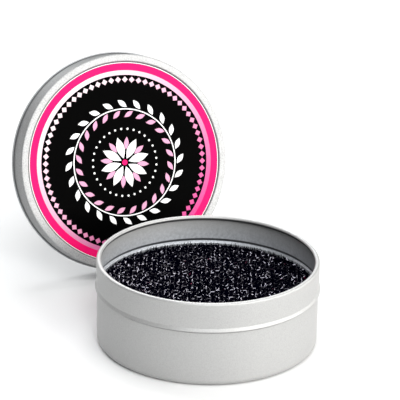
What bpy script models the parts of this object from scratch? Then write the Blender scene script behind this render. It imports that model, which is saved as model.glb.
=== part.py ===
"""Round slip-lid tin that holds a sponge for cleaning make-up brushes dry.

Metres, +Z up.  The origin is the middle of the tin's flat underside.  The tin is
open, with the sponge in it.  Its lid is off and stands behind it on the same
surface, on its curled edge, leaning back so that its label faces the front (-Y).
"""

import math

import bmesh
import bpy
from mathutils import Matrix, Vector

# Sheet metal of the tin and the lid
SHEET = 0.0003

# Tin, outside sizes
TIN_HEIGHT = 0.0328
BODY_RADIUS = 0.04105
BAND_RADIUS = 0.0413
FLOOR_CORNER = 0.0024
RIM_ROLL = 0.00092
RIM_TURN = 265.0
BEAD_HEIGHT = 0.0221
BEAD_REACH = 0.00093
BEAD_PROUD = 0.0005

# Lid, outside sizes
LID_SLIP = 0.0001
LID_ROLL = 0.0006
LID_TURN = 255.0
LID_CORNER = 0.0013
RING_WIDTH = 0.0028
PANEL_DROP = 0.0006
SHOULDER_INSIDE = 0.0001
SHOULDER_OUTSIDE = 0.0006

# Label stuck in the lid's panel
LABEL_MARGIN = 0.00025
LABEL_GLUE = 0.0001
LABEL_THICKNESS = 0.0002

# Sponge
SPONGE_HEIGHT = 0.0205
SPONGE_EDGE = 0.0012
SPONGE_CLEARANCE = 0.00036
FLOOR_GAP = 0.0003

# Where the lid stands: its lean, its turn to the side, and the place of the
# lowest point of its face, which is the point nearest to the tin
LID_LEAN = 17.0
LID_TURN_OUT = 22.2
LID_BEHIND = 0.0122
LID_ASIDE = 0.0283

# Number of facets round the axis, a multiple of four, and steps in the curves
FACETS = 72
CORNER_STEPS = 4
SHOULDER_STEPS = 4
ROLL_STEPS = 9
BEAD_STEPS = 8
SPONGE_EDGE_STEPS = 2

# What follows from the sizes above
BEAD_RADIUS = BAND_RADIUS + BEAD_PROUD
RIM_INNER_RADIUS = BAND_RADIUS - 2 * RIM_ROLL
LID_INNER_RADIUS = BEAD_RADIUS + LID_SLIP
LID_RADIUS = LID_INNER_RADIUS + SHEET
PANEL_RADIUS = LID_RADIUS - RING_WIDTH
# On the tin the ring's underside lies on the rim, and the skirt's rolled edge
# comes down to the middle of the bead
LID_DEPTH = TIN_HEIGHT + SHEET - BEAD_HEIGHT
# The sponge passes the rolled rim and the wall, whichever is narrower
SPONGE_RADIUS = min(RIM_INNER_RADIUS, BODY_RADIUS - SHEET) - SPONGE_CLEARANCE


def clear_scene():
    for thing in list(bpy.data.objects):
        bpy.data.objects.remove(thing, do_unlink=True)


def material(name, colour, roughness, metallic=0.0):
    made = bpy.data.materials.new(name)
    made.use_nodes = True
    shader = made.node_tree.nodes["Principled BSDF"]
    shader.inputs["Base Color"].default_value = (*colour, 1.0)
    shader.inputs["Roughness"].default_value = roughness
    shader.inputs["Metallic"].default_value = metallic
    made.diffuse_color = (*colour, 1.0)
    return made


def arc(centre, radius, start, end, steps):
    """Points (r, z) along an arc, with angles in degrees and both ends included."""
    points = []
    for step in range(steps + 1):
        angle = math.radians(start + (end - start) * step / steps)
        points.append(centre + radius * Vector((math.cos(angle), math.sin(angle))))
    return points


def thicken(path, thickness):
    """The two sides of a sheet whose middle runs along the path, with mitred corners."""
    right_side = []
    left_side = []
    headings = [(after - before).normalized() for before, after in zip(path, path[1:])]
    for index, point in enumerate(path):
        arriving = headings[max(index - 1, 0)]
        leaving = headings[min(index, len(headings) - 1)]
        middle = (arriving + leaving).normalized()
        across = Vector((middle.y, -middle.x))
        square = Vector((leaving.y, -leaving.x))
        offset = across * (thickness / 2 / across.dot(square))
        right_side.append(point + offset)
        left_side.append(point - offset)
    return right_side, left_side


def finish_object(name, mesh_data, finish):
    """Turn a bmesh into a smooth-shaded object with one material."""
    mesh = bpy.data.meshes.new(name)
    bmesh.ops.recalc_face_normals(mesh_data, faces=mesh_data.faces)
    mesh_data.to_mesh(mesh)
    mesh_data.free()
    mesh.materials.append(finish)
    mesh.shade_smooth()
    mesh.set_sharp_from_angle(angle=math.radians(35))
    made = bpy.data.objects.new(name, mesh)
    bpy.context.collection.objects.link(made)
    return made


def spin_sheet(name, path, finish):
    """A sheet-metal pressing turned about Z from the middle line of its section.

    The section starts on a flat round plate.  Its two sides are spun, and each
    side's open circle is closed with one flat face.
    """
    right_side, left_side = thicken(path, SHEET)
    outline = right_side + left_side[::-1]
    body = bmesh.new()
    corners = [body.verts.new((point.x, 0.0, point.y)) for point in outline]
    edges = [body.edges.new(pair) for pair in zip(corners, corners[1:])]
    bmesh.ops.spin(body, geom=corners + edges, cent=(0, 0, 0), axis=(0, 0, 1), dvec=(0, 0, 0),
                   angle=math.tau, steps=FACETS, use_merge=True, use_duplicate=False)
    open_edges = [edge for edge in body.edges if edge.is_boundary]
    bmesh.ops.holes_fill(body, edges=open_edges, sides=0)
    return finish_object(name, body, finish)


def disc(name, radius, bottom, height, finish):
    """A plain round slab that stands on a given height."""
    body = bmesh.new()
    bmesh.ops.create_cone(body, cap_ends=True, cap_tris=False, segments=FACETS, radius1=radius,
                          radius2=radius, depth=height,
                          matrix=Matrix.Translation((0, 0, bottom + height / 2)))
    return finish_object(name, body, finish)


def bead_path():
    """Middle line of the bead, from the body's wall up to the band's wall."""
    body_line = BODY_RADIUS - SHEET / 2
    band_line = BAND_RADIUS - SHEET / 2
    crest_line = BEAD_RADIUS - SHEET / 2
    crest = crest_line - (body_line + band_line) / 2
    points = []
    for step in range(BEAD_STEPS + 1):
        share = step / BEAD_STEPS
        height = BEAD_HEIGHT + BEAD_REACH * (2 * share - 1)
        wall = body_line + (band_line - body_line) * share
        bulge = crest * (1 - math.cos(math.tau * share)) / 2
        points.append(Vector((wall + bulge, height)))
    return points


def tin_base(finish):
    """Flat floor, rounded corner, wall, outward bead, band and inward-rolled rim."""
    corner_bend = FLOOR_CORNER - SHEET / 2
    corner_centre = Vector((BODY_RADIUS - FLOOR_CORNER, FLOOR_CORNER))
    floor_start = Vector((corner_centre.x - FLOOR_CORNER, SHEET / 2))
    roll_bend = RIM_ROLL - SHEET / 2
    roll_centre = Vector((BAND_RADIUS - RIM_ROLL, TIN_HEIGHT - RIM_ROLL))
    path = [floor_start]
    path += arc(corner_centre, corner_bend, -90, 0, CORNER_STEPS)
    path += bead_path()
    path += arc(roll_centre, roll_bend, 0, RIM_TURN, ROLL_STEPS)
    return spin_sheet("tin_base", path, finish)


def shoulder_path():
    """Middle line of the soft step from the lid's sunk panel up to its raised ring."""
    low = LID_DEPTH - PANEL_DROP - SHEET / 2
    start = PANEL_RADIUS - SHOULDER_INSIDE
    width = SHOULDER_INSIDE + SHOULDER_OUTSIDE
    points = []
    for step in range(SHOULDER_STEPS + 1):
        share = step / SHOULDER_STEPS
        rise = PANEL_DROP * (1 - math.cos(math.pi * share)) / 2
        points.append(Vector((start + width * share, low + rise)))
    return points


def tin_lid(finish):
    """Sunk panel, raised ring, rounded corner, skirt and outward-rolled edge.

    Its own frame has the open edge at z = 0 and the top at +Z.
    """
    corner_bend = LID_CORNER - SHEET / 2
    corner_centre = Vector((LID_RADIUS - LID_CORNER, LID_DEPTH - LID_CORNER))
    roll_bend = LID_ROLL - SHEET / 2
    roll_centre = Vector((LID_RADIUS - SHEET / 2 + roll_bend, LID_ROLL))
    path = [Vector((PANEL_RADIUS - RING_WIDTH, LID_DEPTH - PANEL_DROP - SHEET / 2))]
    path += shoulder_path()
    path += arc(corner_centre, corner_bend, 90, 0, CORNER_STEPS)
    path += arc(roll_centre, roll_bend, 180, 180 + LID_TURN, ROLL_STEPS)
    return spin_sheet("tin_lid", path, finish)


def lid_label(finish):
    """Printed sticker on the lid's panel, in the lid's own frame."""
    bottom = LID_DEPTH - PANEL_DROP + LABEL_GLUE
    return disc("lid_label", PANEL_RADIUS - LABEL_MARGIN, bottom, LABEL_THICKNESS, finish)


def sponge(finish):
    """Foam disc that lifts out through the rolled rim, with softened edges."""
    made = disc("sponge", SPONGE_RADIUS, SHEET + FLOOR_GAP, SPONGE_HEIGHT, finish)
    edge = made.modifiers.new("softened edges", "BEVEL")
    edge.width = SPONGE_EDGE
    edge.segments = SPONGE_EDGE_STEPS
    edge.limit_method = "ANGLE"
    edge.angle_limit = math.radians(60)
    return made


def lid_stand():
    """Empty that holds the lid's frame where the lid stands behind the tin."""
    turned = Matrix.Rotation(math.radians(LID_TURN_OUT), 3, "Z")
    leaned = Matrix.Rotation(math.radians(90 - LID_LEAN), 3, "X")
    rotation = turned @ leaned
    # The rolled edge is a ring of wire, and its lowest point touches the surface
    wire_centre = Vector((0, -(LID_RADIUS + LID_ROLL - SHEET), LID_ROLL))
    height = LID_ROLL - (rotation @ wire_centre).z
    # The lowest point of the face sets how far the lid stands from the tin
    toe = rotation @ Vector((0, -LID_RADIUS, LID_DEPTH))
    stand = bpy.data.objects.new("lid_stand", None)
    stand.location = (-LID_ASIDE - toe.x, BEAD_RADIUS + LID_BEHIND - toe.y, height)
    stand.rotation_euler = rotation.to_euler()
    bpy.context.collection.objects.link(stand)
    return stand


def main():
    clear_scene()
    tin_plate = material("satin tin plate", (0.70, 0.70, 0.69), 0.38, 1.0)
    lid_plate = material("satin lid plate", (0.76, 0.76, 0.75), 0.36, 1.0)
    print_black = material("printed label", (0.012, 0.010, 0.012), 0.35)
    foam = material("open-cell foam", (0.020, 0.019, 0.024), 0.9)
    tin_base(tin_plate)
    sponge(foam)
    stand = lid_stand()
    for piece in (tin_lid(lid_plate), lid_label(print_black)):
        piece.parent = stand


main()
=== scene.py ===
"""Looks of the brush-cleaning tin: satin tin plate, open-cell foam and a printed label.

Metres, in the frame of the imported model: +Z up, -Y to the front, and the origin in the
middle of the tin's underside.
"""

import math

import bmesh
import bpy
import numpy as np
from mathutils import Matrix, Vector
from mathutils.geometry import delaunay_2d_cdt


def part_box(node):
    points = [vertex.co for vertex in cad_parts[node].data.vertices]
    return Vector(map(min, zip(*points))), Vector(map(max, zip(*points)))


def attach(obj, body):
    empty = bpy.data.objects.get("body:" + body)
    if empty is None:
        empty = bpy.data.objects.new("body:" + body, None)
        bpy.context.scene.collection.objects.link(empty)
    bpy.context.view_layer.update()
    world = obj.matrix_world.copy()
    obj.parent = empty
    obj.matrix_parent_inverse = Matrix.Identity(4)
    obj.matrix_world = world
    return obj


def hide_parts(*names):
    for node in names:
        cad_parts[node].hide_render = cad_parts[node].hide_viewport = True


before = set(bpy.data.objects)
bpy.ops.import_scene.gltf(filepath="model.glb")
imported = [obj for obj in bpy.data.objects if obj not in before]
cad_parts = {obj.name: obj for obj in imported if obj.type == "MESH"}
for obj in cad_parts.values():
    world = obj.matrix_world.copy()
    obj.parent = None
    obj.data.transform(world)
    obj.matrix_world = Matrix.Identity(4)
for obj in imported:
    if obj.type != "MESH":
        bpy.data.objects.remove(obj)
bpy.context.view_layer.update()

MM = 0.001

# Camera, fitted to the rim, the bead and the bottom edge of the tin
CAMERA_PLACE = Vector((-3.41, -846.78, 401.95)) * MM
CAMERA_PITCH = 22.24
CAMERA_ROLL = 1.044
CAMERA_LENS = 225.0
SENSOR_WIDTH = 36.0

# Sizes that the frame gives
TIN_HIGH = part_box("tin_base")[1]
SPONGE_LOW, SPONGE_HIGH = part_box("sponge")
TIN_HEIGHT = TIN_HIGH.z
BEAD_RADIUS = TIN_HIGH.x

# Tin, as in the solids, but with a softer bead: the share of its height at which its
# crest lies, and how far the crest is rounded
SHEET = 0.3 * MM
BAND_RADIUS = BEAD_RADIUS - 0.5 * MM
BODY_RADIUS = BAND_RADIUS - 0.25 * MM
FLOOR_CORNER = 2.4 * MM
INNER_CORNER = FLOOR_CORNER - SHEET
RIM_ROLL = 0.92 * MM
RIM_TURN = 265.0
BEAD_HEIGHT = 22.1 * MM
BEAD_REACH = 0.93 * MM
BEAD_CREST = 0.40
BEAD_SOFT = 0.09

# Lid, as in the solids, but 0.2 mm larger in radius, with a finer roll and sharper corner
LID_RADIUS = BEAD_RADIUS + 0.6 * MM
LID_DEPTH = TIN_HEIGHT + SHEET - BEAD_HEIGHT
LID_ROLL = 0.5 * MM
LID_TURN = 255.0
LID_CORNER = 0.5 * MM
RING_WIDTH = 3.0 * MM
PANEL_DROP = 0.6 * MM
SHOULDER_INSIDE = 0.1 * MM
SHOULDER_OUTSIDE = 0.6 * MM
PANEL_RADIUS = LID_RADIUS - RING_WIDTH
PANEL_HEIGHT = LID_DEPTH - PANEL_DROP

# Solid label, from which the place of the lid is measured
LABEL_GLUE = 0.1 * MM
LABEL_THICKNESS = 0.2 * MM

# Printed sticker, its rings and its border of diamonds, and the gap in millimetres under
# which two of its printed points become one
STICKER_GLUE = 0.02 * MM
STICKER_THICKNESS = 0.14 * MM
STICKER_RADIUS = PANEL_RADIUS - 0.25 * MM
PINK_OUTER = 38.95 * MM
PINK_INNER = 36.1 * MM
BLACK_RADIUS = 34.3 * MM
DIAMONDS = 72
DIAMOND_RADIUS = 32.5 * MM
DIAMOND_REACH = 1.2 * MM
DIAMOND_TURN = -0.8
PRINT_MERGE = 1e-5

# Ornament: a rosette of wide and narrow petals round an eye, a ring of dots, and a round
# stem with pairs of leaves.  A petal or leaf is a length and a width
PRINT_TURN = 12.0
PETALS = 8
WIDE_PETAL = (8.6 * MM, 3.3 * MM)
WIDE_PETAL_RADIUS = 5.9 * MM
NARROW_PETAL = (5.0 * MM, 1.9 * MM)
NARROW_PETAL_RADIUS = 7.6 * MM
EYE_RADIUS = 1.1 * MM
DOTS = 32
DOT_SIZE = 0.42 * MM
DOT_RING_RADIUS = 13.2 * MM
STEM_RADIUS = 21.0 * MM
HALF_STEM = 0.22 * MM
LEAVES = 24
OUTER_LEAF = (4.6 * MM, 2.0 * MM)
OUTER_LEAF_GAP = 2.1 * MM
OUTER_LEAF_TURN = 52
INNER_LEAF = (4.2 * MM, 1.8 * MM)
INNER_LEAF_GAP = 2.0 * MM
INNER_LEAF_TURN = 128

# Inks, with the tone and the film's unevenness that they share.  The fading one goes
# through its shades from the label's upper left to its lower right, along a line at this
# turn and over this reach to both sides of the middle
WHITE_SHADE = (0.80, 0.80, 0.80)
PINK_SHADE = (0.72, 0.0075, 0.12)
BLUSH_SHADE = (0.60, 0.29, 0.43)
BLACK_SHADE = (0.0006, 0.0006, 0.0006)
FADE_SHADES = (
    (0.70, 0.58, 0.62),
    (0.65, 0.42, 0.50),
    (0.60, 0.29, 0.42),
    (0.55, 0.135, 0.29),
    (0.54, 0.052, 0.22),
)
FADE_TURN = -53.0
FADE_REACH = 35.0 * MM
INK_ROUGHNESS = 0.34
INK_GLOSS = (0.28, 0.40)
INK_SPECKS = 0.93
FILM_SCALE = 420.0
FILM_DEPTH = 0.01 * MM
TONE_SCALE = 2600.0
TONE_RANGE = (0.30, 0.60)

# Tin plate: its scales in waves a metre, and what sets the tin apart from the lid, which
# is its colour, how much its grain stands up and how dark the grain's specks are
GRAIN_SCALE = 2200.0
GRAIN_RANGE = (0.36, 0.60)
CLOUD_SCALE = 160.0
WAVE_SCALE = 34.0
MOTTLE_SCALE = 950.0
MOTTLE_RANGE = (0.36, 0.64)
PLATE_METAL = 0.5
PLATE_ROUGHNESS = 0.50
PLATE_GLOSS = (0.45, 0.55)
WAVE_DEPTH = 0.25 * MM
GRAIN_DEPTH = 0.02 * MM
TIN_LOOK = {"shade": (0.40, 0.40, 0.396), "grain": 0.3, "specks": 0.88}
LID_LOOK = {"shade": (0.385, 0.388, 0.388), "grain": 0.7, "specks": 0.62}

# Colours of the plate's cooler inside, lightened on the tin as painted light, of the painted
# highlight on its rubbed edges, and of the painted shade in its creases and on the lid's skirt
INSIDE_TINT_AND_LIGHT_SHADES = (0.38, 0.41, 0.46), (0.62, 0.66, 0.72)
WORN_AND_HIGHLIGHT_SHADE = (0.58, 0.58, 0.575)
PAINTED_SHADE_COLOUR = (0.02, 0.02, 0.022)

# Painted shade on the tin, and how dark it is: in the inner groove, on the inner
# underside of the rolled rim, on the wall under it, and on the bead's lower flank
GROOVE_LOW = 22.2 * MM
GROOVE_HIGH = 23.0 * MM
GROOVE_FADE = 0.2 * MM
GROOVE_PAINTED_SHADE = 0.9
ROLL_LOW = TIN_HEIGHT - 2 * RIM_ROLL
ROLL_HIGH = TIN_HEIGHT - 0.85 * RIM_ROLL
ROLL_FADE = 0.2 * MM
ROLL_PAINTED_SHADE = 0.9
UNDER_ROLL = 30.75 * MM
UNDER_ROLL_FADE = 0.25 * MM
FLANK_LOW = 21.25 * MM
FLANK_HIGH = 21.75 * MM
FLANK_FADE = 0.15 * MM
FLANK_PAINTED_SHADE = 0.26

# The same painted shade on the lid: round the label, above the skirt's rolled edge, over
# the skirt and in the corner inside
LABEL_PAINTED_SHADE = 0.5
LABEL_CREASE = 0.1 * MM
CREASE_PAINTED_SHADE = 0.6
SKIRT_CREASE = (1.8 * LID_ROLL, 2.2 * LID_ROLL)
SKIRT_PAINTED_SHADE = 0.28
LID_FADE = 0.2 * MM
CORNER_PAINTED_SHADE = 0.4
CORNER_FADE = 1.2 * MM

# Half the width of the rubbed line on the rim, brightened as a painted highlight, the
# painted light that brightens the lid's ring, and how far the insides of the tin and the lid
# take their own colour, on the tin lightened as painted light
RIM_HIGHLIGHT_HALF_WIDTH = 0.26 * MM
RING_PAINTED_LIGHT = 0.1
TIN_INSIDE_TINT_AND_LIGHT = 0.55
LID_INSIDE = 0.25

# Foam: its net of struts, with the depth that it has under the top, the side and the
# bottom, how wavy and ragged its cut top is, and a least length that the cuts divide by
FOAM_SEED = 7
FOAM_TOP = SPONGE_HIGH.z
FOAM_BOTTOM = SPONGE_LOW.z
FOAM_CLEARANCE = 0.35 * MM
FOAM_RADIUS = BODY_RADIUS - SHEET - FOAM_CLEARANCE
FOAM_CELL = 2.3 * MM
LATTICE_REACH = 1.1 * BEAD_RADIUS
FOAM_SHAKE = 0.17 * MM
FOAM_TILT = 31.0
FOAM_TILT_AXIS = Vector((1, 2, 0.6))
FOAM_DEPTHS = (0.7 * MM, 0.55 * MM, 0.8 * MM)
FOAM_RIPPLE = 0.12 * MM
RIPPLE_WAVES = (610.0, 740.0)
RIPPLE_START = 1.0
FOAM_RAGGED = 0.6 * MM
STRUT_WIDTH = 0.11 * MM
STRUT_SPREAD = (0.7, 1.35)
STRUT_STEPS = ((1, 1, 0), (1, -1, 0), (1, 0, 1), (1, 0, -1), (0, 1, 1), (0, 1, -1))
SMALLEST_CUT = 1e-9

# Cut strut ends along the foam's edge, with their share of the width at root and tip
TIPS = 800
TIP_ROOT = 0.7 * MM
TIP_LENGTHS = (0.8 * MM, 1.9 * MM)
TIP_BAND = 1.0 * MM
TIP_LEAN = 0.28
TIP_WIDTHS = (1.7, 0.7)

# Dark core inside the net, with a low rim along its edge, and the steps in its section
CORE_ROUNDING = 0.5 * MM
CORE_SHAKE = 0.08 * MM
CORE_RIM = 0.7 * MM
CORE_RIM_DEPTH = 0.2 * MM
CORE_TOP_STEPS = 22
CORE_ROUNDING_STEPS = 4
CORE_ROUNDING_ARC = 80
CORE_WALL_STEPS = 8
CORE_BOTTOM_STEPS = 24
CORE_TURN_STEPS = 128

# Glossy struts and dull core, in the same two blue-blacks
FOAM_SHADES = (0.0001, 0.0001, 0.0016), (0.0006, 0.0006, 0.0034)
FOAM_IOR = 1.75
FOAM_TINT = (0.90, 0.87, 1.0)
FOAM_ROUGHNESS = 0.1
FOAM_GLOSS = (0.03, 0.10)
FOAM_TONE_SCALE = 900.0
FOAM_TONE_RANGE = (0.35, 0.70)
CORE_ROUGHNESS = 0.95
CORE_PIT_SCALE = 620.0
CORE_PIT_RANGE = (0.40, 0.75)
CORE_PIT_DEPTH = 0.8 * MM

# Floor: half its side, and its two close tones in wide clouds
FLOOR_REACH = 2.5
FLOOR_SHADES = (0.684, 0.684, 0.684), (0.696, 0.696, 0.696)
FLOOR_CLOUD_SCALE = 5.0
FLOOR_CLOUD_RANGE = (0.35, 0.65)

# Softboxes, a touch warm from the right and cool from the rest: name, azimuth from the
# front to the right, elevation, watts and colour
WARM = (1.0, 0.985, 0.96)
COOL = (0.975, 0.99, 1.0)
BOX_SIZE = 0.9
BOX_DISTANCE = 1.6
SOFT_BOXES = (
    ("right_front_box", 45, 20, 20.0, WARM),
    ("right_box", 80, 12, 12.0, WARM),
    ("right_back_box", 110, 12, 8.4, WARM),
    ("right_high_box", 85, 52, 4.8, WARM),
    ("front_box", 0, 30, 10.4, COOL),
    ("high_front_box", 0, 62, 13.6, COOL),
    ("high_back_box", 180, 62, 12.8, COOL),
    ("left_back_box", -145, 30, 12.4, COOL),
)
WORLD_LIGHT = 0.10

# Fineness of the turned pieces and of the print
TURN_STEPS = 256
CORNER_STEPS = 8
ROLL_STEPS = 24
BEAD_STEPS = 16
STEM_STEPS = 128
EYE_STEPS = 24
DOT_STEPS = 14
PETAL_STEPS = 12
LEAF_STEPS = 9
FLAT_EDGE = 0.2 * MM
LONG_RUN = 4 * FLAT_EDGE
SHARP_ANGLE = 30.0


def principled(name, colour, roughness, metallic=0.0, specular=0.5):
    """A new node material, its shader and its node tree."""
    made = bpy.data.materials.new(name)
    made.use_nodes = True
    shader = made.node_tree.nodes["Principled BSDF"]
    shader.inputs["Base Color"].default_value = (*colour, 1.0)
    shader.inputs["Roughness"].default_value = roughness
    shader.inputs["Metallic"].default_value = metallic
    shader.inputs["Specular IOR Level"].default_value = specular
    return made, shader, made.node_tree


def noise_node(tree, scale, detail=2.0, roughness=0.5):
    """Noise texture in the object's own coordinates, with its scale in waves a metre."""
    place = tree.nodes.new("ShaderNodeTexCoord")
    texture = tree.nodes.new("ShaderNodeTexNoise")
    texture.inputs["Scale"].default_value = scale
    texture.inputs["Detail"].default_value = detail
    texture.inputs["Roughness"].default_value = roughness
    tree.links.new(place.outputs["Object"], texture.inputs["Vector"])
    return texture


def ramp_node(tree, source, low, high, low_colour, high_colour):
    """Colour ramp between two places on a source's value."""
    ramp = tree.nodes.new("ShaderNodeValToRGB")
    ramp.color_ramp.elements[0].position = low
    ramp.color_ramp.elements[1].position = high
    ramp.color_ramp.elements[0].color = (*low_colour, 1.0)
    ramp.color_ramp.elements[1].color = (*high_colour, 1.0)
    tree.links.new(source, ramp.inputs["Fac"])
    return ramp


def bump_node(tree, height, distance, strength, before=None):
    """Bump from a height of 0 to 1, on top of an earlier bump where there is one."""
    bump = tree.nodes.new("ShaderNodeBump")
    bump.inputs["Distance"].default_value = distance
    bump.inputs["Strength"].default_value = strength
    tree.links.new(height, bump.inputs["Height"])
    if before is not None:
        tree.links.new(before.outputs["Normal"], bump.inputs["Normal"])
    return bump


def range_node(tree, source, low, high):
    """Map a source's 0 to 1 onto low to high."""
    mapped = tree.nodes.new("ShaderNodeMapRange")
    mapped.inputs["To Min"].default_value = low
    mapped.inputs["To Max"].default_value = high
    tree.links.new(source, mapped.inputs["Value"])
    return mapped


def attribute_mix(tree, name, before, after):
    """Turn the colour before towards another where the mesh's attribute says so.

    The other is a colour, or a node that gives one.
    """
    source = tree.nodes.new("ShaderNodeAttribute")
    source.attribute_name = name
    mixed = tree.nodes.new("ShaderNodeMixRGB")
    if isinstance(after, tuple):
        mixed.inputs["Color2"].default_value = (*after, 1.0)
    else:
        tree.links.new(after.outputs["Color"], mixed.inputs["Color2"])
    tree.links.new(source.outputs["Fac"], mixed.inputs["Fac"])
    tree.links.new(before.outputs["Color"], mixed.inputs["Color1"])
    return mixed


def tin_plate(name, shade, grain, specks):
    """Satin tin plate: a fine random grain, soft clouds in its gloss and a faint wave.

    The mesh's own attributes cool its inside, which on the tin is lightened as painted light,
    brighten it with a painted highlight on the rim and painted light on the lid's ring, and
    darken it with painted shade in its creases and on the lid's skirt.
    """
    made, shader, tree = principled(name, shade, PLATE_ROUGHNESS, metallic=PLATE_METAL)
    fine = noise_node(tree, GRAIN_SCALE, detail=4.0, roughness=0.7)
    clouds = noise_node(tree, CLOUD_SCALE, detail=3.0)
    wave = noise_node(tree, WAVE_SCALE, detail=1.0)
    darker = tuple(specks * part for part in shade)
    tint = ramp_node(tree, fine.outputs["Fac"], *GRAIN_RANGE, darker, shade)
    mottle = noise_node(tree, MOTTLE_SCALE, detail=4.0, roughness=0.65)
    inside = ramp_node(tree, mottle.outputs["Fac"], *MOTTLE_RANGE, *INSIDE_TINT_AND_LIGHT_SHADES)
    # Cooler inside, which on the tin is also lightened as painted light
    cooled_and_lightened = attribute_mix(tree, "inside", tint, inside)
    # Painted highlight on the rubbed rim and painted light on the lid's ring
    worn_and_highlighted = attribute_mix(tree, "wear_and_highlight", cooled_and_lightened, WORN_AND_HIGHLIGHT_SHADE)
    # Painted shade in the creases, under the rim, on the bead's flank and on the lid's skirt
    shade_painted = attribute_mix(tree, "painted_shade", worn_and_highlighted, PAINTED_SHADE_COLOUR)
    tree.links.new(shade_painted.outputs["Color"], shader.inputs["Base Color"])
    gloss = range_node(tree, clouds.outputs["Fac"], *PLATE_GLOSS)
    tree.links.new(gloss.outputs["Result"], shader.inputs["Roughness"])
    sheet_wave = bump_node(tree, wave.outputs["Fac"], WAVE_DEPTH, strength=0.25)
    grained = bump_node(tree, fine.outputs["Fac"], GRAIN_DEPTH, strength=grain, before=sheet_wave)
    tree.links.new(grained.outputs["Normal"], shader.inputs["Normal"])
    return made


def foam_finish():
    """Glossy black of the foam's struts."""
    made, shader, tree = principled("foam_black", FOAM_SHADES[1], FOAM_ROUGHNESS, specular=1.0)
    shader.inputs["IOR"].default_value = FOAM_IOR
    shader.inputs["Specular Tint"].default_value = (*FOAM_TINT, 1.0)
    tone = noise_node(tree, FOAM_TONE_SCALE, detail=2.0)
    tint = ramp_node(tree, tone.outputs["Fac"], *FOAM_TONE_RANGE, *FOAM_SHADES)
    tree.links.new(tint.outputs["Color"], shader.inputs["Base Color"])
    gloss = range_node(tree, tone.outputs["Fac"], *FOAM_GLOSS)
    tree.links.new(gloss.outputs["Result"], shader.inputs["Roughness"])
    return made


def foam_core_finish():
    """Dull pitted black behind the struts."""
    made, shader, tree = principled("foam_core_black", FOAM_SHADES[1], CORE_ROUGHNESS, specular=0.0)
    pits = noise_node(tree, CORE_PIT_SCALE, detail=4.0, roughness=0.7)
    tint = ramp_node(tree, pits.outputs["Fac"], *CORE_PIT_RANGE, *FOAM_SHADES)
    tree.links.new(tint.outputs["Color"], shader.inputs["Base Color"])
    bumped = bump_node(tree, pits.outputs["Fac"], CORE_PIT_DEPTH, strength=0.9)
    tree.links.new(bumped.outputs["Normal"], shader.inputs["Normal"])
    return made


def film_gloss(tree, shader):
    """Faint unevenness in the gloss of the thin film over the print."""
    film = noise_node(tree, FILM_SCALE, detail=3.0)
    gloss = range_node(tree, film.outputs["Fac"], *INK_GLOSS)
    tree.links.new(gloss.outputs["Result"], shader.inputs["Roughness"])
    return film


def print_finish(name, colour, specular=0.2):
    """Printed ink under a thin film, with a fine tone in its colour."""
    made, shader, tree = principled(name, colour, INK_ROUGHNESS, specular=specular)
    film = film_gloss(tree, shader)
    tone = noise_node(tree, TONE_SCALE, detail=2.0)
    darker = tuple(INK_SPECKS * part for part in colour)
    tint = ramp_node(tree, tone.outputs["Fac"], *TONE_RANGE, darker, colour)
    tree.links.new(tint.outputs["Color"], shader.inputs["Base Color"])
    bumped = bump_node(tree, film.outputs["Fac"], FILM_DEPTH, strength=0.3)
    tree.links.new(bumped.outputs["Normal"], shader.inputs["Normal"])
    return made


def fading_finish(name, colours, pose):
    """Printed ink that fades through the colours across the label."""
    made, shader, tree = principled(name, colours[0], INK_ROUGHNESS, specular=0.1)
    turn = math.radians(FADE_TURN)
    along = pose.to_3x3() @ Vector((math.cos(turn), math.sin(turn), 0.0))
    middle = pose.translation.dot(along)
    place = tree.nodes.new("ShaderNodeTexCoord")
    across = tree.nodes.new("ShaderNodeVectorMath")
    across.operation = "DOT_PRODUCT"
    across.inputs[1].default_value = along
    tree.links.new(place.outputs["Object"], across.inputs[0])
    share = tree.nodes.new("ShaderNodeMapRange")
    share.inputs["From Min"].default_value = middle - FADE_REACH
    share.inputs["From Max"].default_value = middle + FADE_REACH
    tree.links.new(across.outputs["Value"], share.inputs["Value"])
    fade = ramp_node(tree, share.outputs["Result"], 0.0, 1.0, colours[0], colours[-1])
    for index, colour in enumerate(colours[1:-1], start=1):
        fade.color_ramp.elements.new(index / (len(colours) - 1)).color = (*colour, 1.0)
    tone = noise_node(tree, TONE_SCALE, detail=2.0)
    shade = ramp_node(tree, tone.outputs["Fac"], *TONE_RANGE, (INK_SPECKS,) * 3, (1.0,) * 3)
    mixed = tree.nodes.new("ShaderNodeMixRGB")
    mixed.blend_type = "MULTIPLY"
    mixed.inputs["Fac"].default_value = 1.0
    tree.links.new(fade.outputs["Color"], mixed.inputs["Color1"])
    tree.links.new(shade.outputs["Color"], mixed.inputs["Color2"])
    tree.links.new(mixed.outputs["Color"], shader.inputs["Base Color"])
    film_gloss(tree, shader)
    return made


def arc(centre, radius, start, end, steps):
    """Points (r, z) along an arc, with angles in degrees and both ends included."""
    points = []
    for step in range(steps + 1):
        angle = math.radians(start + (end - start) * step / steps)
        points.append(centre + radius * Vector((math.cos(angle), math.sin(angle))))
    return points


def hold_flats(path):
    """Add a point close to both ends of the long straight runs, so that these shade flat."""
    held = [path[0]]
    for before, after in zip(path, path[1:]):
        run = after - before
        if run.length > LONG_RUN:
            held += [before + run.normalized() * FLAT_EDGE, after - run.normalized() * FLAT_EDGE]
        held.append(after)
    return held


def thicken(path, thickness):
    """The two sides of a sheet whose middle runs along the path, with mitred corners."""
    right_side = []
    left_side = []
    headings = [(after - before).normalized() for before, after in zip(path, path[1:])]
    for index, point in enumerate(path):
        arriving = headings[max(index - 1, 0)]
        leaving = headings[min(index, len(headings) - 1)]
        middle = (arriving + leaving).normalized()
        across = Vector((middle.y, -middle.x))
        square = Vector((leaving.y, -leaving.x))
        offset = across * (thickness / 2 / across.dot(square))
        right_side.append(point + offset)
        left_side.append(point - offset)
    return right_side, left_side


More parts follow.
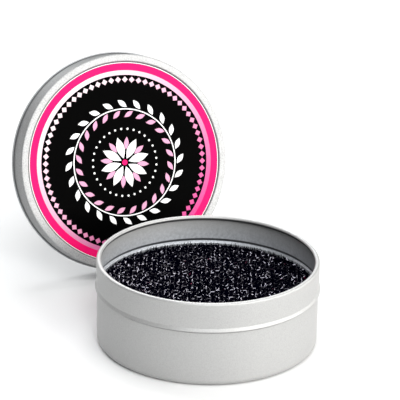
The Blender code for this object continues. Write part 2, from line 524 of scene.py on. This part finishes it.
def close_body(body):
    """Close the open rings of a body and turn all its faces outward."""
    open_edges = [edge for edge in body.edges if edge.is_boundary]
    bmesh.ops.holes_fill(body, edges=open_edges, sides=0)
    bmesh.ops.recalc_face_normals(body, faces=body.faces)


def turned(outline, steps):
    """A closed body turned about Z from an open outline (r, z).

    The circles that its two ends leave are closed with one flat face each.
    """
    body = bmesh.new()
    corners = [body.verts.new((point.x, 0.0, point.y)) for point in outline]
    edges = [body.edges.new(pair) for pair in zip(corners, corners[1:])]
    bmesh.ops.spin(body, geom=corners + edges, cent=(0, 0, 0), axis=(0, 0, 1), dvec=(0, 0, 0),
                   angle=math.tau, steps=steps, use_merge=True, use_duplicate=False)
    close_body(body)
    return body


def mesh_from(name, body):
    """A new mesh from a finished body."""
    mesh = bpy.data.meshes.new(name)
    body.to_mesh(mesh)
    body.free()
    return mesh


def add_object(name, mesh, finishes):
    """A new object in the scene with these finishes."""
    for finish in finishes:
        mesh.materials.append(finish)
    made = bpy.data.objects.new(name, mesh)
    bpy.context.scene.collection.objects.link(made)
    return made


def band(value, low, high, fade):
    """1 from low to high, falling to 0 over the fade beyond both."""
    return max(0.0, min(1.0, 1 - (low - value) / fade, 1 - (value - high) / fade))


def spin_sheet(name, path, finish, marks):
    """A sheet-metal pressing turned about Z from the middle line of its section.

    Each mark is a named rule that says how much of the cooler inside colour, of painted
    light and of painted shade a point of the section takes, on the path's right or left side.
    """
    right_side, left_side = thicken(hold_flats(path), SHEET)
    outline = right_side + left_side[::-1]
    sides = [True] * len(right_side) + [False] * len(left_side)
    mesh = mesh_from(name, turned(outline, TURN_STEPS))
    mesh.shade_smooth()
    mesh.set_sharp_from_angle(angle=math.radians(SHARP_ANGLE))
    places = np.array([vertex.co for vertex in mesh.vertices])
    section = np.stack([np.hypot(places[:, 0], places[:, 1]), places[:, 2]], axis=1)
    gaps = np.linalg.norm(section[:, None, :] - np.array(outline)[None, :, :], axis=2)
    nearest = gaps.argmin(axis=1)
    for mark, rule in marks.items():
        values = np.array([rule(point, side) for point, side in zip(outline, sides)])
        mesh.attributes.new(mark, "FLOAT", "POINT").data.foreach_set("value", values[nearest])
    return add_object(name, mesh, [finish])


def bead_bulge(share):
    """The bead's section from 0 to 1: a short lower flank, a low crest and a long upper one."""
    if share < BEAD_CREST:
        return (1 - math.cos(math.pi * share / BEAD_CREST)) / 2
    slope = (1 - share) / (1 - BEAD_CREST)
    if slope <= BEAD_SOFT:
        return slope ** 2 / BEAD_SOFT
    crest = 1 - math.hypot(share - BEAD_CREST, BEAD_SOFT) / (1 - BEAD_CREST)
    return max(0.0, min(slope, crest + BEAD_SOFT))


def bead_path():
    """Middle line of the bead, from the body's wall up to the band's wall."""
    body_line = BODY_RADIUS - SHEET / 2
    band_line = BAND_RADIUS - SHEET / 2
    crest = BEAD_RADIUS - SHEET / 2 - (body_line + band_line) / 2
    points = []
    for step in range(BEAD_STEPS + 1):
        share = step / BEAD_STEPS
        height = BEAD_HEIGHT + BEAD_REACH * (2 * share - 1)
        wall = body_line + (band_line - body_line) * share
        points.append(Vector((wall + crest * bead_bulge(share), height)))
    return points


def tin_painted_shade(point, outer):
    """Painted shade in the inner groove, under and on the rim's roll, and on the bead's lower
    flank.
    """
    if outer and point.x < BAND_RADIUS - RIM_ROLL:
        return ROLL_PAINTED_SHADE * band(point.y, ROLL_LOW, ROLL_HIGH, ROLL_FADE)
    if outer:
        return FLANK_PAINTED_SHADE * band(point.y, FLANK_LOW, FLANK_HIGH, FLANK_FADE)
    groove = GROOVE_PAINTED_SHADE * band(point.y, GROOVE_LOW, GROOVE_HIGH, GROOVE_FADE)
    return max(groove, ROLL_PAINTED_SHADE * band(point.y, UNDER_ROLL, TIN_HEIGHT, UNDER_ROLL_FADE))


def tin_inside_tint_and_light(point, outer):
    """The cooler inside of the tin, also lightened as painted light: full up to the groove, fading
    out towards the rolled rim.
    """
    if outer:
        return 0.0
    return TIN_INSIDE_TINT_AND_LIGHT * band(point.y, 0.0, GROOVE_HIGH, UNDER_ROLL - GROOVE_HIGH)


def tin_wear_and_highlight(point, outer):
    """Bright rubbed metal along the top of the rolled rim, which is also a painted highlight."""
    if not outer or point.y < TIN_HEIGHT - RIM_ROLL:
        return 0.0
    middle = BAND_RADIUS - RIM_ROLL
    return band(point.x, middle - RIM_HIGHLIGHT_HALF_WIDTH, middle + RIM_HIGHLIGHT_HALF_WIDTH, RIM_HIGHLIGHT_HALF_WIDTH)


def lid_inside(point, inner):
    """The cooler inside of the lid, down to its rolled edge."""
    if not inner:
        return 0.0
    return LID_INSIDE * band(point.y, 2 * LID_ROLL, LID_DEPTH, LID_ROLL)


def lid_ring_painted_light(point, inner):
    """Painted light on the ring round the label, which makes its metal a little brighter."""
    if inner or point.y < LID_DEPTH - LID_FADE:
        return 0.0
    ring_start = PANEL_RADIUS + SHOULDER_OUTSIDE
    ring_end = LID_RADIUS - LID_CORNER / 2
    return RING_PAINTED_LIGHT * band(point.x, ring_start, ring_end, LID_FADE)


def lid_painted_shade(point, inner):
    """Painted shade round the label, on the skirt and above its roll, and in the corner inside."""
    if inner:
        near_skirt = band(point.x, LID_RADIUS - LID_CORNER, LID_RADIUS, CORNER_FADE)
        near_panel = band(point.y, LID_DEPTH - LID_CORNER, LID_DEPTH, CORNER_FADE)
        return CORNER_PAINTED_SHADE * near_skirt * near_panel
    round_label = LABEL_PAINTED_SHADE * band(point.x, STICKER_RADIUS, PANEL_RADIUS + LABEL_CREASE, LID_FADE)
    crease = CREASE_PAINTED_SHADE * band(point.y, *SKIRT_CREASE, LID_FADE)
    skirt = SKIRT_PAINTED_SHADE * band(point.y, 0.0, LID_DEPTH - LID_CORNER, LID_FADE)
    return max(round_label, crease, skirt)


def make_tin(finish):
    """Tin body, with a point on its wall where the painted shade under the rim begins."""
    corner_centre = Vector((BODY_RADIUS - FLOOR_CORNER, FLOOR_CORNER))
    roll_centre = Vector((BAND_RADIUS - RIM_ROLL, TIN_HEIGHT - RIM_ROLL))
    path = [Vector((corner_centre.x - FLOOR_CORNER, SHEET / 2))]
    path += arc(corner_centre, FLOOR_CORNER - SHEET / 2, -90, 0, CORNER_STEPS)
    path += bead_path()
    band_line = BAND_RADIUS - SHEET / 2
    path += [Vector((band_line, UNDER_ROLL - UNDER_ROLL_FADE)), Vector((band_line, UNDER_ROLL))]
    path += arc(roll_centre, RIM_ROLL - SHEET / 2, 0, RIM_TURN, ROLL_STEPS)
    # Marks: cool inside lightened as painted light, painted highlight on the rim, painted shade
    marks = {"inside": tin_inside_tint_and_light, "wear_and_highlight": tin_wear_and_highlight, "painted_shade": tin_painted_shade}
    tin = spin_sheet("tin_body", path, finish, marks)
    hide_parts("tin_base")
    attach(tin, "tin")


def shoulder_path():
    """Middle line of the soft step from the sunk panel up to the ring round it."""
    low = PANEL_HEIGHT - SHEET / 2
    start = PANEL_RADIUS - SHOULDER_INSIDE
    end = PANEL_RADIUS + SHOULDER_OUTSIDE
    points = []
    for step in range(CORNER_STEPS + 1):
        share = step / CORNER_STEPS
        rise = PANEL_DROP * (1 - math.cos(math.pi * share)) / 2
        points.append(Vector((start + (end - start) * share, low + rise)))
    return points


def make_lid(finish, pose):
    """Lid, with a point on its skirt where the painted shade in the inner corner ends."""
    corner_centre = Vector((LID_RADIUS - LID_CORNER, LID_DEPTH - LID_CORNER))
    roll_bend = LID_ROLL - SHEET / 2
    roll_centre = Vector((LID_RADIUS - SHEET / 2 + roll_bend, LID_ROLL))
    path = [Vector((PANEL_RADIUS - RING_WIDTH, PANEL_HEIGHT - SHEET / 2))]
    path += shoulder_path()
    path += arc(corner_centre, LID_CORNER - SHEET / 2, 90, 0, CORNER_STEPS)
    path += [Vector((LID_RADIUS - SHEET / 2, LID_DEPTH - LID_CORNER - CORNER_FADE))]
    path += arc(roll_centre, roll_bend, 180, 180 + LID_TURN, ROLL_STEPS)
    # Marks: cool inside, painted light on the ring, painted shade round the label and on the skirt
    marks = {"inside": lid_inside, "wear_and_highlight": lid_ring_painted_light, "painted_shade": lid_painted_shade}
    lid = spin_sheet("lid_pressing", path, finish, marks)
    lid.data.transform(pose)
    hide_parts("tin_lid")
    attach(lid, "lid")


def lid_pose():
    """The lid's own frame, open edge at z = 0, measured from the label's thin disc."""
    places = np.array([vertex.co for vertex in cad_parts["lid_label"].data.vertices])
    middle = places.mean(axis=0)
    spread = np.linalg.svd(places - middle, full_matrices=False)[2]
    outward = Vector(spread[2])
    if outward.y > 0:
        outward.negate()
    sideways = Vector((0, 0, 1)).cross(outward).normalized()
    upward = outward.cross(sideways)
    label_middle = PANEL_HEIGHT + LABEL_GLUE + LABEL_THICKNESS / 2
    pose = Matrix((sideways, upward, outward)).transposed().to_4x4()
    pose.translation = Vector(middle) - outward * label_middle
    return pose


def circle(radius, steps):
    """Points of a circle round the origin, drawn anticlockwise."""
    angles = [math.tau * step / steps for step in range(steps)]
    return [Vector((radius * math.cos(angle), radius * math.sin(angle))) for angle in angles]


def leaf(length, width, steps):
    """A pointed leaf along X, with its middle at the origin, drawn anticlockwise."""
    lower = [Vector((length * (step / steps - 0.5), -width / 2 * math.sin(math.pi * step / steps)))
             for step in range(steps + 1)]
    upper = [Vector((point.x, -point.y)) for point in lower[-2:0:-1]]
    return lower + upper


def placed(outline, radius, angle, turn=0.0):
    """An outline turned in itself, then set at a radius and an angle round the label."""
    spun = Matrix.Rotation(math.radians(turn), 2)
    around = Matrix.Rotation(math.radians(angle), 2)
    return [around @ (spun @ point + Vector((radius, 0.0))) for point in outline]


def ornament_shapes():
    """A plain rosette in a ring of dots, with a wreath of paired leaves round it."""
    wide_petal = leaf(*WIDE_PETAL, PETAL_STEPS)
    narrow_petal = leaf(*NARROW_PETAL, PETAL_STEPS)
    dot = circle(DOT_SIZE, DOT_STEPS)
    outer_leaf = leaf(*OUTER_LEAF, LEAF_STEPS)
    inner_leaf = leaf(*INNER_LEAF, LEAF_STEPS)
    outer_radius = STEM_RADIUS + OUTER_LEAF_GAP
    inner_radius = STEM_RADIUS - INNER_LEAF_GAP
    shapes = [("white", circle(STEM_RADIUS + HALF_STEM, STEM_STEPS)),
              ("black", circle(STEM_RADIUS - HALF_STEM, STEM_STEPS))]
    for index in range(PETALS):
        angle = 360 * index / PETALS + PRINT_TURN
        between = angle + 180 / PETALS
        shapes.append(("white", placed(wide_petal, WIDE_PETAL_RADIUS, angle)))
        shapes.append(("blush", placed(narrow_petal, NARROW_PETAL_RADIUS, between)))
    shapes.append(("pink", circle(EYE_RADIUS, EYE_STEPS)))
    for index in range(DOTS):
        angle = 360 * index / DOTS + PRINT_TURN
        shapes.append(("white", placed(dot, DOT_RING_RADIUS, angle)))
    for index in range(LEAVES):
        angle = 360 * index / LEAVES + PRINT_TURN
        between = angle + 180 / LEAVES
        shapes.append(("white", placed(outer_leaf, outer_radius, angle, OUTER_LEAF_TURN)))
        shapes.append(("blush", placed(inner_leaf, inner_radius, between, INNER_LEAF_TURN)))
    return shapes


def print_shapes():
    """Printed shapes from the bottom up: (ink, outline)."""
    shapes = [("white", circle(STICKER_RADIUS, TURN_STEPS)),
              ("pink", circle(PINK_OUTER, TURN_STEPS)),
              ("fading", circle(PINK_INNER, TURN_STEPS)),
              ("black", circle(BLACK_RADIUS, TURN_STEPS))]
    diamond = [Vector((DIAMOND_REACH, 0)), Vector((0, DIAMOND_REACH)),
               Vector((-DIAMOND_REACH, 0)), Vector((0, -DIAMOND_REACH))]
    for index in range(DIAMONDS):
        angle = 360 * index / DIAMONDS + DIAMOND_TURN
        shapes.append(("fading", placed(diamond, DIAMOND_RADIUS, angle)))
    return shapes + ornament_shapes()


def make_label(inks, pose):
    """One thin closed sticker whose top face is cut into the areas of its inks."""
    names = list(inks)
    shapes = print_shapes()
    points = []
    faces = []
    for _, outline in shapes:
        faces.append(list(range(len(points), len(points) + len(outline))))
        points += [point / MM for point in outline]
    cut = delaunay_2d_cdt(points, [], faces, 1, PRINT_MERGE)
    cut_points, _, cut_faces, _, _, sources = cut
    bottom = PANEL_HEIGHT + STICKER_GLUE
    top = bottom + STICKER_THICKNESS
    body = bmesh.new()
    upper = [body.verts.new((point.x * MM, point.y * MM, top)) for point in cut_points]
    for face, source in zip(cut_faces, sources):
        made = body.faces.new([upper[index] for index in face])
        made.material_index = names.index(shapes[max(source)][0])
    rim = [edge for edge in body.edges if edge.is_boundary]
    for part in bmesh.ops.extrude_edge_only(body, edges=rim)["geom"]:
        if isinstance(part, bmesh.types.BMVert):
            part.co.z = bottom
        elif isinstance(part, bmesh.types.BMFace):
            part.material_index = names.index("white")
    close_body(body)
    mesh = mesh_from("label_sticker", body)
    mesh.transform(pose)
    label = add_object("label_sticker", mesh, inks.values())
    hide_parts("lid_label")
    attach(label, "lid")


def foam_room(places):
    """Depth of each place under the sponge's top, side and bottom, negative outside them."""
    height = places[:, 2]
    spread = np.hypot(places[:, 0], places[:, 1])
    below = np.clip(FLOOR_CORNER - height, 0, INNER_CORNER)
    wall = BODY_RADIUS - FLOOR_CORNER + np.sqrt(INNER_CORNER ** 2 - below ** 2)
    first_wave = np.sin(places[:, 0] * RIPPLE_WAVES[0])
    second_wave = np.sin(places[:, 1] * RIPPLE_WAVES[1] + RIPPLE_START)
    top = FOAM_TOP + FOAM_RIPPLE * (first_wave + second_wave) - height
    return np.stack([top, wall - FOAM_CLEARANCE - spread, height - FOAM_BOTTOM], axis=1)


def foam_lattice(rng):
    """Both ends of the struts of a tilted, shaken lattice of fourteen-sided cells.

    Its corners are the whole-number places whose three parts, modulo four, are 0, 2 and
    an odd number in some order.  Struts join corners one step apart on two axes.
    """
    unit = FOAM_CELL / 4
    tilt = np.array(Matrix.Rotation(math.radians(FOAM_TILT), 3, FOAM_TILT_AXIS))
    reach = int(LATTICE_REACH / unit)
    key_step = 4 * reach
    spans = np.arange(-reach, reach + 1)
    middle = np.array([0.0, 0.0, (FOAM_TOP + FOAM_BOTTOM) / 2])
    kept = []
    for first in spans:
        second, third = np.meshgrid(spans, spans, indexing="ij")
        block = np.stack([np.full(second.size, first), second.ravel(), third.ravel()], axis=1)
        rest = block % 4
        block = block[((rest == 0).sum(axis=1) == 1) & ((rest == 2).sum(axis=1) == 1)]
        room = foam_room(block @ tilt.T * unit + middle).min(axis=1)
        kept.append(block[(room > -FOAM_CELL) & (room < max(FOAM_DEPTHS) + FOAM_CELL)])
    corners = np.concatenate(kept)
    keys = (corners[:, 0] + reach) * key_step + corners[:, 1] + reach
    keys = keys * key_step + corners[:, 2] + reach
    tails = []
    heads = []
    for first, second, third in STRUT_STEPS:
        wanted = keys + (first * key_step + second) * key_step + third
        found = np.clip(np.searchsorted(keys, wanted), 0, len(keys) - 1)
        match = keys[found] == wanted
        tails.append(np.nonzero(match)[0])
        heads.append(found[match])
    places = corners @ tilt.T * unit + middle
    places += rng.normal(0.0, FOAM_SHAKE, places.shape)
    return places[np.concatenate(tails)], places[np.concatenate(heads)]


def cut_struts(tails, heads, rng):
    """Keep the struts near the sponge's faces, cut off where they cross a face.

    Returns their two ends and, for each, the face it is nearest: top, side or bottom.
    """
    ragged = rng.uniform(-FOAM_RAGGED, FOAM_RAGGED, (len(tails), 1)) * (1, 0, 0)
    tail_rooms = foam_room(tails) + ragged
    head_rooms = foam_room(heads) + ragged
    swap = tail_rooms.min(axis=1) < head_rooms.min(axis=1)
    tails[swap], heads[swap] = heads[swap], tails[swap]
    tail_rooms[swap], head_rooms[swap] = head_rooms[swap], tail_rooms[swap]
    inner = tail_rooms.min(axis=1)
    outer = head_rooms.min(axis=1)
    reach = np.clip(inner / np.maximum(inner - outer, SMALLEST_CUT), 0.0, 1.0)
    cut = outer < 0
    heads[cut] = tails[cut] + (heads[cut] - tails[cut]) * reach[cut, None]
    face = np.argmin(head_rooms, axis=1)
    depth = np.array(FOAM_DEPTHS)[face]
    long_enough = np.linalg.norm(heads - tails, axis=1) > STRUT_WIDTH
    keep = (inner > 0) & (np.maximum(outer, 0) < depth) & long_enough
    return tails[keep], heads[keep], face[keep]


def foam_tips(rng):
    """Cut strut ends that stand up along the foam's edge, clear of the wall."""
    angle = rng.uniform(0.0, math.tau, TIPS)
    radius = FOAM_RADIUS - rng.uniform(0.0, TIP_BAND, TIPS)
    outward = np.stack([np.cos(angle), np.sin(angle), np.zeros(TIPS)], axis=1)
    around = np.stack([-np.sin(angle), np.cos(angle), np.zeros(TIPS)], axis=1)
    tails = outward * radius[:, None] + np.array([0.0, 0.0, FOAM_TOP - TIP_ROOT])
    lean = rng.normal(0.0, TIP_LEAN, (TIPS, 2))
    way = np.array([0.0, 0.0, 1.0]) + around * lean[:, :1] - outward * np.abs(lean[:, 1:])
    way /= np.linalg.norm(way, axis=1, keepdims=True)
    return tails, tails + way * rng.uniform(*TIP_LENGTHS, (TIPS, 1))


def strut_mesh(name, tails, heads, widths, rng):
    """One closed three-sided bar for each strut, with a share of the width at both ends."""
    along = heads - tails
    along /= np.linalg.norm(along, axis=1, keepdims=True)
    side = np.cross(along, rng.normal(size=along.shape))
    side /= np.linalg.norm(side, axis=1, keepdims=True)
    other = np.cross(along, side)
    width = STRUT_WIDTH * rng.uniform(*STRUT_SPREAD, (len(tails), 1))
    rings = []
    for place, breadth in ((tails, width * widths[:, :1]), (heads, width * widths[:, 1:])):
        for corner in range(3):
            angle = math.tau * corner / 3
            rings.append(place + (side * math.cos(angle) + other * math.sin(angle)) * breadth)
    points = np.stack(rings, axis=1).reshape(-1, 3)
    pattern = np.array([(0, 2, 1), (3, 4, 5), (0, 1, 4), (0, 4, 3),
                        (1, 2, 5), (1, 5, 4), (2, 0, 3), (2, 3, 5)])
    faces = (np.arange(len(tails)) * 6)[:, None, None] + pattern
    mesh = bpy.data.meshes.new(name)
    mesh.from_pydata(points.tolist(), [], faces.reshape(-1, 3).tolist())
    return mesh


def core_section():
    """Outline (r, z) of the core, from near the middle of its top to that of its bottom."""
    top_depth, side_depth, bottom_depth = FOAM_DEPTHS
    radius = FOAM_RADIUS - side_depth
    low = FOAM_BOTTOM + bottom_depth
    high = FOAM_TOP - top_depth
    rim = FOAM_TOP - CORE_RIM_DEPTH
    flat = radius - CORE_RIM - CORE_ROUNDING
    wall = rim - low - 2 * CORE_ROUNDING
    upper_centre = Vector((radius - CORE_ROUNDING, rim - CORE_ROUNDING))
    lower_centre = Vector((radius - CORE_ROUNDING, low + CORE_ROUNDING))
    section = [Vector((flat * step / CORE_TOP_STEPS, high))
               for step in range(1, CORE_TOP_STEPS + 1)]
    section += arc(upper_centre, CORE_ROUNDING, CORE_ROUNDING_ARC, 0, CORE_ROUNDING_STEPS)
    section += [Vector((radius, rim - CORE_ROUNDING - step * wall / CORE_WALL_STEPS))
                for step in range(1, CORE_WALL_STEPS)]
    section += arc(lower_centre, CORE_ROUNDING, 0, -CORE_ROUNDING_ARC, CORE_ROUNDING_STEPS)
    section += [Vector((step * radius / CORE_BOTTOM_STEPS, low))
                for step in range(CORE_BOTTOM_STEPS - 1, 0, -1)]
    return section


def make_core(finish):
    """Dark lumpy block inside the foam's net, turned from a rounded section and shaken."""
    rng = np.random.default_rng(FOAM_SEED)
    body = turned(core_section(), CORE_TURN_STEPS)
    for vertex in body.verts:
        vertex.co += Vector(rng.normal(0.0, CORE_SHAKE, 3))
    return add_object("foam_core", mesh_from("foam_core", body), [finish])


def make_sponge(strut_finish, core_finish):
    """Dark core inside a net of foam struts, which stands on its top, side and bottom."""
    rng = np.random.default_rng(FOAM_SEED)
    tails, heads = foam_lattice(rng)
    tails, heads, face = cut_struts(tails, heads, rng)
    core = make_core(core_finish)
    pieces = [core]
    tips, tip_ends = foam_tips(rng)
    widths = np.concatenate([np.ones((len(tails), 2)), np.tile(TIP_WIDTHS, (TIPS, 1))])
    tails = np.concatenate([tails, tips])
    heads = np.concatenate([heads, tip_ends])
    face = np.concatenate([face, np.zeros(TIPS, dtype=int)])
    for number, name in enumerate(("foam_top", "foam_side", "foam_bottom")):
        chosen = face == number
        mesh = strut_mesh(name, tails[chosen], heads[chosen], widths[chosen], rng)
        pieces.append(add_object(name, mesh, [strut_finish]))
    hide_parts("sponge")
    for piece in pieces:
        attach(piece, "sponge")


def make_floor():
    """Plain pale floor."""
    body = bmesh.new()
    bmesh.ops.create_grid(body, x_segments=1, y_segments=1, size=FLOOR_REACH)
    finish, shader, tree = principled("floor_white", FLOOR_SHADES[1], roughness=0.6, specular=0.2)
    clouds = noise_node(tree, FLOOR_CLOUD_SCALE, detail=3.0)
    tint = ramp_node(tree, clouds.outputs["Fac"], *FLOOR_CLOUD_RANGE, *FLOOR_SHADES)
    tree.links.new(tint.outputs["Color"], shader.inputs["Base Color"])
    floor = add_object("floor", mesh_from("floor", body), [finish])


def make_camera():
    """Camera at the photograph's place, pitched down and rolled a little."""
    pitch = math.radians(CAMERA_PITCH)
    roll = math.radians(CAMERA_ROLL)
    ahead = Vector((0, math.cos(pitch), -math.sin(pitch)))
    level = Vector((1, 0, 0))
    upright = level.cross(ahead)
    sideways = math.cos(roll) * level + math.sin(roll) * upright
    upward = math.cos(roll) * upright - math.sin(roll) * level
    data = bpy.data.cameras.new("camera")
    data.lens = CAMERA_LENS
    data.sensor_width = SENSOR_WIDTH
    camera = bpy.data.objects.new("camera", data)
    camera.matrix_world = Matrix((sideways, upward, -ahead)).transposed().to_4x4()
    camera.matrix_world.translation = CAMERA_PLACE
    bpy.context.scene.collection.objects.link(camera)
    bpy.context.scene.camera = camera


def soft_box(name, azimuth, elevation, power, colour):
    """A square softbox aimed at the tin."""
    turn = math.radians(azimuth)
    lift = math.radians(elevation)
    level = math.cos(lift)
    toward = Vector((math.sin(turn) * level, -math.cos(turn) * level, math.sin(lift)))
    data = bpy.data.lights.new(name, "AREA")
    data.shape = "SQUARE"
    data.size = BOX_SIZE
    data.energy = power
    data.color = colour
    light = bpy.data.objects.new(name, data)
    light.location = toward * BOX_DISTANCE
    light.rotation_euler = toward.to_track_quat("Z", "Y").to_euler()
    light.visible_camera = False
    bpy.context.scene.collection.objects.link(light)


def make_light():
    """White surroundings, the softboxes and the plain view transform."""
    world = bpy.data.worlds.new("studio")
    world.use_nodes = True
    background = world.node_tree.nodes["Background"]
    background.inputs["Color"].default_value = (1.0, 1.0, 1.0, 1.0)
    background.inputs["Strength"].default_value = WORLD_LIGHT
    bpy.context.scene.world = world
    bpy.context.scene.view_settings.view_transform = "Standard"
    for row in SOFT_BOXES:
        soft_box(*row)


def main():
    """Build the stage, then the tin, the lid, its label and the sponge."""
    make_camera()
    make_floor()
    make_light()
    pose = lid_pose()
    make_tin(tin_plate("tin_satin", **TIN_LOOK))
    make_lid(tin_plate("lid_satin", **LID_LOOK), pose)
    inks = {"white": print_finish("ink_white", WHITE_SHADE),
            "fading": fading_finish("ink_fading", FADE_SHADES, pose),
            "pink": print_finish("ink_pink", PINK_SHADE, specular=0.03),
            "blush": print_finish("ink_blush", BLUSH_SHADE, specular=0.1),
            "black": print_finish("ink_black", BLACK_SHADE, specular=0.006)}
    make_label(inks, pose)
    make_sponge(foam_finish(), foam_core_finish())


main()
